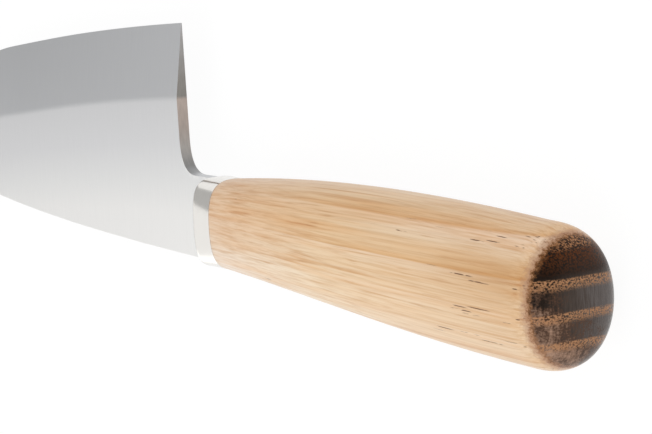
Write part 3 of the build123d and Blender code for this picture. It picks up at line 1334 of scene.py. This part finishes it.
        dulled = add_node(tree, "Math", {
            0: soot.outputs["Result"], 1: burnt, 2: rough.outputs["Result"],
        }, operation="MULTIPLY_ADD")
        tree.links.new(dulled.outputs[0], shader.inputs["Roughness"])
        crust = add_node(tree, "Math", {0: speckle, 1: burnt}, operation="MULTIPLY").outputs[0]
        height = 0.0
        for pattern, rise_mm in ((fibre, self.fibre_height_mm), (pore, -self.pore_depth_mm),
                                 (crust, self.speckle_height_mm)):
            height = add_node(tree, "Math", {0: pattern, 1: rise_mm, 2: height},
                              operation="MULTIPLY_ADD").outputs[0]
        bump = add_node(tree, "Bump", {"Height": height, "Distance": MM, "Strength": 1.0})
        tree.links.new(bump.outputs["Normal"], shader.inputs["Normal"])
        shader.inputs["Specular IOR Level"].default_value = self.gloss
        shader.inputs["Sheen Weight"].default_value = self.sheen
        shader.inputs["Sheen Roughness"].default_value = self.sheen_roughness

    def _ring_share(self, tree: Tree, place: Socket, parts: bpy.types.Node) -> Socket:
        """Where a point lies between the first and the last ring border.

        The place is Y, less the bend times Z squared, plus a slow wander along the handle.

        Args:
            tree: the material's tree.
            place: the place on the piece in millimetres.
            parts: the node that splits the place into X, Y and Z.

        Returns:
            Zero at the first ring border and one at the last.
        """
        wander = add_node(tree, "MapRange", {
            "Value": self.ring_wander.pattern(tree, place),
            "To Min": -self.wander_mm, "To Max": self.wander_mm,
        })
        square = add_node(tree, "Math", {0: parts.outputs["Z"], 1: parts.outputs["Z"]}, operation="MULTIPLY")
        bent = add_node(tree, "Math", {
            0: square.outputs[0], 1: -self.ring_bend_per_mm, 2: parts.outputs["Y"],
        }, operation="MULTIPLY_ADD")
        height = add_node(tree, "Math", {0: bent.outputs[0], 1: wander.outputs["Result"]}, operation="ADD")
        return add_node(tree, "MapRange", {
            "Value": height.outputs[0],
            "From Min": self.ring_borders_mm[0], "From Max": self.ring_borders_mm[-1],
        }).outputs["Result"]

    def _over_rings(self, tree: Tree, ring: Socket, shares: tuple[float, ...],
                    colours: list[Colour]) -> Socket:
        """Repeats the same colours in every ring.

        Args:
            tree: the material's tree.
            ring: the place from 0 at the first ring border to 1 at the last.
            shares: the colours' places in a ring, from 0 at its start to 1 at the next border.
            colours: the colours there.

        Returns:
            The colour at the place.
        """
        low, high = self.ring_borders_mm[0], self.ring_borders_mm[-1]
        stops = []
        for start, end in zip(self.ring_borders_mm, self.ring_borders_mm[1:]):
            stops += [((start + share * (end - start) - low) / (high - low), colour)
                      for share, colour in zip(shares, colours)]
        return add_node(tree, "ValToRGB", {"Fac": ring}, stops=stops).outputs["Color"]

    def _plain_wood(self, tree: Tree, place: Socket, parts: bpy.types.Node, ring: Socket,
                    fibre: Socket) -> Socket:
        """The colour of sound wood: a tone along the handle, tinted by the rings, patches and streaks.

        The rings' tints are strongest towards the butt and on the edge side, and weaker towards the collar
        and the spine. The pale patches cover the tone; the one on the spine side by the collar is a painted
        sheen. Every other tint is multiplied in by its own share.

        Args:
            tree: the material's tree.
            place: the place on the piece in millimetres.
            parts: the node that splits the place into X, Y and Z.
            ring: the place between the first and the last ring border.
            fibre: the fibres' noise.

        Returns:
            The colour.
        """
        by_x = add_node(tree, "MapRange", {"Value": parts.outputs["X"], **self.tints_by_x.sockets()})
        by_y = add_node(tree, "MapRange", {"Value": parts.outputs["Y"], **self.tints_by_y.sockets()})
        clear = add_node(tree, "Math", {0: by_x.outputs["Result"], 1: by_y.outputs["Result"]},
                         operation="MULTIPLY")
        rings = self._over_rings(tree, ring, self.tint_shares, [linear(tint) for tint in self.tints])
        # The pale patch on the spine side by the collar is a painted sheen.
        layers = [("MIX", patch.share(tree, place), linear(patch.colour)) for patch in self.pale_and_sheen_patches]
        layers.append(("MULTIPLY", clear.outputs[0], rings))
        layers += [("MULTIPLY", patch.share(tree, place), linear(patch.colour))
                   for patch in self.warm_patches]
        noises = [(streak, streak.grain.pattern(tree, place)) for streak in self.streaks]
        for streak, noise in [*noises, (self.fibres, fibre)]:
            share = add_node(tree, "MapRange", {"Value": noise, **streak.span.sockets()})
            layers.append(("MULTIPLY", share.outputs["Result"], linear(streak.colour)))
        wood = self.tones_by_x.ramp(tree, parts.outputs["X"])
        for blend, share, colour in layers:
            wood = add_node(tree, "Mix", {
                MixSocket.SHARE: share, MixSocket.FIRST: wood, MixSocket.SECOND: colour,
            }, data_type="RGBA", blend_type=blend).outputs[MixSocket.RESULT]
        return wood

    def _pores(self, tree: Tree, place: Socket, parts: bpy.types.Node, porous: Socket) -> Socket:
        """One inside an open pore: the middle of a long cell, broken up along its length.

        Pores open in the porous rows, and more often towards the butt.

        Args:
            tree: the material's tree.
            place: the place on the piece in millimetres.
            parts: the node that splits the place into X, Y and Z.
            porous: one in the porous start of a ring and zero in its dense end.

        Returns:
            One inside a pore and zero outside.
        """
        cells = add_node(tree, "Mapping", {
            "Vector": place, "Scale": [1 / size for size in self.pore_spacing_mm],
        })
        cell = add_node(tree, "TexVoronoi", {"Vector": cells.outputs["Vector"], "Scale": 1.0})
        inside = add_node(tree, "MapRange", {
            "Value": cell.outputs["Distance"], **self.pore_middle.sockets(),
        }, interpolation_type="SMOOTHSTEP")
        drawn = add_node(tree, "SeparateColor", {"Color": cell.outputs["Color"]})
        by_x = add_node(tree, "MapRange", {"Value": parts.outputs["X"], **self.pores_by_x.sockets()})
        wanted = add_node(tree, "Math", {0: by_x.outputs["Result"], 1: porous}, operation="MULTIPLY")
        chosen = add_node(tree, "Math", {0: drawn.outputs["Red"], 1: wanted.outputs[0]},
                          operation="LESS_THAN")
        gap = add_node(tree, "MapRange", {
            "Value": self.pore_bridges.pattern(tree, place), **self.pore_gaps.sockets(),
        })
        broken = add_node(tree, "Math", {0: inside.outputs["Result"], 1: gap.outputs["Result"]},
                          operation="MULTIPLY")
        return add_node(tree, "Math", {0: broken.outputs[0], 1: chosen.outputs[0]},
                        operation="MULTIPLY").outputs[0]

    def _scorched_share(self, tree: Tree, place: Socket, parts: bpy.types.Node) -> Socket:
        """How far a point is scorched: from a slightly leaning, bowed and ragged line to the butt's end.

        Args:
            tree: the material's tree.
            place: the place on the piece in millimetres.
            parts: the node that splits the place into X, Y and Z.

        Returns:
            Zero on sound wood, up to one where it is charred.
        """
        ragged = add_node(tree, "MapRange", {
            "Value": self.scorch_clouds.pattern(tree, place),
            "To Min": -self.ragged_mm, "To Max": self.ragged_mm,
        })
        square = add_node(tree, "Math", {0: parts.outputs["Y"], 1: parts.outputs["Y"]}, operation="MULTIPLY")
        line = parts.outputs["X"]
        for value, weight in ((parts.outputs["Y"], -self.scorch_lean),
                              (square.outputs[0], self.scorch_bow_per_mm), (ragged.outputs["Result"], 1.0)):
            line = add_node(tree, "Math", {0: value, 1: weight, 2: line},
                            operation="MULTIPLY_ADD").outputs[0]
        return add_node(tree, "MapRange", {"Value": line, **self.scorched_by_x.sockets()}).outputs["Result"]

    def _char_colour(self, tree: Tree, place: Socket, parts: bpy.types.Node, porous: Socket,
                     speckle: Socket) -> Socket:
        """The scorched end grain: speckled orange-brown rows between dark bands with rays across the rings.

        A band is dark, and turns grey towards the back and the spine as a painted sheen, broken by the rays.
        It is browner where the mottle and the way towards the spine say so, with embers of brown near the
        edge's side.

        Args:
            tree: the material's tree.
            place: the place on the piece in millimetres.
            parts: the node that splits the place into X, Y and Z.
            porous: one in the porous start of a ring and zero in its dense end.
            speckle: the speckles' noise.

        Returns:
            The colour.
        """
        ray = self.rays.pattern(tree, place)
        mottle = -self.mottle_middle
        for noise, weight in ((self.char_clouds.pattern(tree, place), 1.0), (ray, self.ray_weight),
                              (speckle, self.speckle_weight)):
            mottle = add_node(tree, "Math", {0: noise, 1: weight, 2: mottle},
                              operation="MULTIPLY_ADD").outputs[0]
        spineward = add_node(tree, "Math", {
            0: parts.outputs["Z"], 1: self.spineward_per_mm, 2: parts.outputs["Y"],
        }, operation="MULTIPLY_ADD").outputs[0]
        strength, shift, glow, sheen_share_by_z, by_y, sheen_share_by_rays = [
            add_node(tree, "MapRange", {"Value": value, **span.sockets()}).outputs["Result"]
            for value, span in (
                (spineward, self.mottle_spineward), (spineward, self.brown_spineward),
                (parts.outputs["Y"], self.glow_by_y), (parts.outputs["Z"], self.sheen_grey_by_z),
                (parts.outputs["Y"], self.sheen_grey_by_y), (ray, self.sheen_grey_by_rays),
            )
        ]
        brownness = add_node(tree, "Math", {0: mottle, 1: strength, 2: shift},
                             operation="MULTIPLY_ADD").outputs[0]
        brown = add_node(tree, "MapRange", {"Value": brownness, **self.brown_share.sockets()})
        thinned = add_node(tree, "Math", {0: glow, 1: -self.row_thinning, 2: speckle},
                           operation="MULTIPLY_ADD")
        ember, row = [
            add_node(tree, "MapRange", {"Value": value, **span.sockets()},
                     interpolation_type="SMOOTHSTEP").outputs["Result"]
            for value, span in ((speckle, self.ember_share), (thinned.outputs[0], self.row_share))
        ]
        band_sheen_grey, ember_glow, row_glow = [
            add_node(tree, "Math", {0: first, 1: second}, operation="MULTIPLY").outputs[0]
            for first, second in ((sheen_share_by_z, by_y), (ember, glow), (row, porous))
        ]
        # The grey share is a painted sheen, greater towards the back and the spine and broken by the rays.
        grey = add_node(tree, "Math", {0: band_sheen_grey, 1: sheen_share_by_rays}, operation="MULTIPLY").outputs[0]
        char = self.dark_to_sheen_tones.ramp(tree, grey)
        for share, colour in ((brown.outputs["Result"], self.brown_tones.ramp(tree, brownness)),
                              (ember_glow, linear(self.ember_colour)), (row_glow, linear(self.row_colour))):
            char = add_node(tree, "Mix", {
                MixSocket.SHARE: share, MixSocket.FIRST: char, MixSocket.SECOND: colour,
            }, data_type="RGBA").outputs[MixSocket.RESULT]
        return char


@dataclass(frozen=True)
class CastResin(Finish):
    """Epoxy that was poured round the tang and set in the bore: dark amber, glossy, a little cloudy.

    The wood and the collar hide it, so its pattern is only seen when the knife is taken apart.
    """

    clear_colour: str = "4E4230"
    cloudy_colour: str = "6A5A44"
    roughness: float = 0.28
    clouds: Grain = Grain((6.0, 6.0, 6.0), 3.0)

    def dress(self, tree: Tree, shader: bpy.types.Node, place: Socket) -> None:
        """Clouds the resin softly.

        Args:
            tree: the material's tree.
            shader: the principled shader to fill.
            place: the place on the piece in millimetres.
        """
        colour = add_node(tree, "Mix", {
            MixSocket.SHARE: self.clouds.pattern(tree, place), MixSocket.FIRST: linear(self.clear_colour),
            MixSocket.SECOND: linear(self.cloudy_colour),
        }, data_type="RGBA")
        tree.links.new(colour.outputs[MixSocket.RESULT], shader.inputs["Base Color"])
        shader.inputs["Roughness"].default_value = self.roughness


class Bedding:
    """The set resin round the tang: the plain node's own shape, with a finish of its own."""

    def dress(self, node: bpy.types.Object, resin: bpy.types.Material) -> None:
        """Gives every material slot of the node the resin.

        Args:
            node: the plain node of the bedding.
            resin: its finish.
        """
        for place in node.material_slots:
            place.material = resin
        LOG.info("%s: %d material slots filled", node.name, len(node.material_slots))


@dataclass(frozen=True)
class SoftBox:
    """A large square lamp aimed at the knife."""

    name: str
    place: tuple[float, float, float]
    side_length: float
    power: float


@dataclass(frozen=True)
class Card:
    """A glowing sheet, seen only in reflections, so that the metal has something to mirror; it lights
    nothing.

    It stands in a direction from the knife, given by its turn from +X towards +Y and its height in
    degrees, and faces the knife.
    """

    name: str
    turn: float
    height: float
    distance: float
    half_width: float
    half_height: float
    brightness: float


@dataclass(frozen=True)
class ViewPoint:
    """The camera that took the photograph, about the handle's axis in millimetres and degrees."""

    place_mm: tuple[float, float, float] = (-331.325, -53.955, 180.659)
    turned: tuple[float, float, float] = (-12.4128, 57.8589, 174.8709)
    focal_pixels: float = 1700.0
    photo_width: float = 652.0
    sensor_mm: float = 36.0


def four_cornered_sheet(name: str, corners: Grid, material: bpy.types.Material) -> bpy.types.Object:
    """Makes a flat sheet that belongs to the studio and not to the part.

    Args:
        name: the sheet's name.
        corners: its corners in order, in metres.
        material: what it is made of.

    Returns:
        The sheet's object.
    """
    mesh = bpy.data.meshes.new(name)
    mesh.from_pydata(corners, [], [(0, 1, 2, 3)])
    mesh.materials.append(material)
    sheet = bpy.data.objects.new(name, mesh)
    bpy.context.scene.collection.objects.link(sheet)
    return sheet


class Studio:
    """The white floor, the soft light and the camera."""

    floor_half = 4.0
    world_strength = 0.74
    floor_glow = 0.92
    floor_strength = 1.02
    lamps = (
        SoftBox("key_box", (-0.15, 0.7, 0.8), 1.2, 5.0),
        SoftBox("fill_box", (-0.7, -0.8, 0.75), 1.2, 3.0),
    )
    cards = (
        Card("grey_card", -13.5, 24.5, 1.2, 0.29, 0.36, 0.5),
        Card("low_card", 0.0, 9.0, 1.35, 0.45, 0.2, 0.6),
        Card("dark_card", 212.0, 35.0, 1.5, 1.15, 0.95, 0.02),
        Card("bright_card", 40.0, 10.0, 1.2, 0.45, 0.24, 1.35),
    )

    def __init__(self, axis: KnifeAxis, viewpoint: ViewPoint) -> None:
        """Keeps the place of the knife and of the camera."""
        self.axis = axis
        self.viewpoint = viewpoint

    def seen_directly(self, tree: Tree) -> Socket:
        """One for light that the camera, a reflection or a clear body sees, and zero for the rest.

        Args:
            tree: the material's tree.

        Returns:
            One for such light and zero for the rest.
        """
        path = add_node(tree, "LightPath")
        either = add_node(tree, "Math", {0: path.outputs["Is Camera Ray"], 1: path.outputs["Is Glossy Ray"]},
                          operation="MAXIMUM")
        return add_node(tree, "Math", {0: either.outputs[0], 1: path.outputs["Is Transmission Ray"]},
                        operation="MAXIMUM").outputs[0]

    def build_world(self) -> None:
        """White all round: full strength where it is seen, and a little less as light on the knife."""
        world = bpy.data.worlds.new("white_room")
        world.use_nodes = True
        tree = world.node_tree
        tree.nodes.clear()
        strength = add_node(tree, "MapRange", {
            "Value": self.seen_directly(tree), "To Min": self.world_strength, "To Max": 1.0,
        })
        glow = add_node(tree, "Background", {
            "Color": linear("FFFFFF"), "Strength": strength.outputs["Result"],
        })
        add_node(tree, "OutputWorld", {"Surface": glow.outputs["Background"]})
        bpy.context.scene.world = world

    def build_floor(self) -> None:
        """A white floor under the knife. It glows a little where it is seen, and keeps the shadow."""
        material = bare_material("white paper floor")
        tree = material.node_tree
        paper = add_node(tree, "BsdfDiffuse", {"Color": linear("F4F4F4")})
        glow = add_node(tree, "Emission", {"Color": linear("FFFFFF"), "Strength": self.floor_strength})
        share = add_node(tree, "Math", {0: self.seen_directly(tree), 1: self.floor_glow},
                         operation="MULTIPLY")
        mixed = add_node(tree, "MixShader", {
            0: share.outputs[0], 1: paper.outputs["BSDF"], 2: glow.outputs["Emission"],
        })
        add_node(tree, "OutputMaterial", {"Surface": mixed.outputs["Shader"]})
        half = self.floor_half
        corners = np.array([(-half, -half, 0), (half, -half, 0), (half, half, 0), (-half, half, 0)])
        four_cornered_sheet("floor", corners, material)

    def build_lamps(self) -> None:
        """Puts up the soft boxes."""
        for box in self.lamps:
            lamp = bpy.data.lights.new(box.name, "AREA")
            lamp.shape = "SQUARE"
            lamp.size = box.side_length
            lamp.energy = box.power
            holder = bpy.data.objects.new(box.name, lamp)
            holder.location = box.place
            holder.rotation_euler = (-Vector(box.place)).to_track_quat("-Z", "Y").to_euler()
            holder.visible_glossy = False
            bpy.context.scene.collection.objects.link(holder)

    def build_cards(self) -> None:
        """Stands the cards round the knife, where neither the camera nor the light meets them."""
        for card in self.cards:
            turn, height = math.radians(card.turn), math.radians(card.height)
            toward = np.array([math.cos(turn) * math.cos(height), math.sin(turn) * math.cos(height),
                               math.sin(height)])
            aside = np.array([-math.sin(turn), math.cos(turn), 0.0]) * card.half_width
            above = np.cross(toward, aside) / card.half_width * card.half_height
            middle = toward * card.distance
            corners = middle + np.array([-aside - above, aside - above, aside + above, above - aside])
            material = bare_material(card.name)
            glow = add_node(material.node_tree, "Emission", {
                "Color": linear("FFFFFF"), "Strength": card.brightness,
            })
            add_node(material.node_tree, "OutputMaterial", {"Surface": glow.outputs["Emission"]})
            sheet = four_cornered_sheet(card.name, corners, material)
            sheet.visible_camera = sheet.visible_diffuse = sheet.visible_shadow = False
            sheet.visible_transmission = sheet.visible_volume_scatter = False

    def build_camera(self) -> None:
        """Puts the camera where the photograph was taken from."""
        point = self.viewpoint
        lens = bpy.data.cameras.new("camera")
        lens.sensor_width = point.sensor_mm
        lens.lens = point.focal_pixels / point.photo_width * point.sensor_mm
        lens.clip_start = 0.01
        lens.clip_end = 100.0
        camera = bpy.data.objects.new("camera", lens)
        camera.location = self.axis.start + Vector(point.place_mm) * MM
        camera.rotation_euler = [math.radians(angle) for angle in point.turned]
        bpy.context.scene.collection.objects.link(camera)
        bpy.context.scene.camera = camera

    def build(self) -> None:
        """Sets up the whole studio."""
        bpy.context.scene.view_settings.view_transform = "Standard"
        self.build_world()
        self.build_floor()
        self.build_lamps()
        self.build_cards()
        self.build_camera()


def main() -> None:
    """Loads the frame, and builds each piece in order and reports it."""
    logging.basicConfig(level=logging.INFO, format="%(name)s: %(message)s")
    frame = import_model()
    axis = KnifeAxis.from_frame()
    collar_sizes = CollarSizes()
    tang_sizes = TangSizes()

    ground = GroundSteel("ground stainless steel").make(axis)
    sawn = SawnSteel("linished steel edge").make(axis)
    polished = PolishedSteel("polished stainless steel").make(axis)
    wood = ScorchedWood("scorched ring-porous wood").make(axis)
    resin = CastResin("cast epoxy resin").make(axis)

    Blade(axis, collar_sizes, tang_sizes).build(ground, sawn)
    Collar(axis, collar_sizes, tang_sizes).build(polished)
    Handle(axis, collar_sizes, tang_sizes).build(wood)
    Bedding().dress(frame["nodes"]["tang_bedding"], resin)
    Studio(axis, ViewPoint()).build()

    bpy.context.view_layer.update()
    LOG.info("all pieces built")


if __name__ == "__main__":
    main()
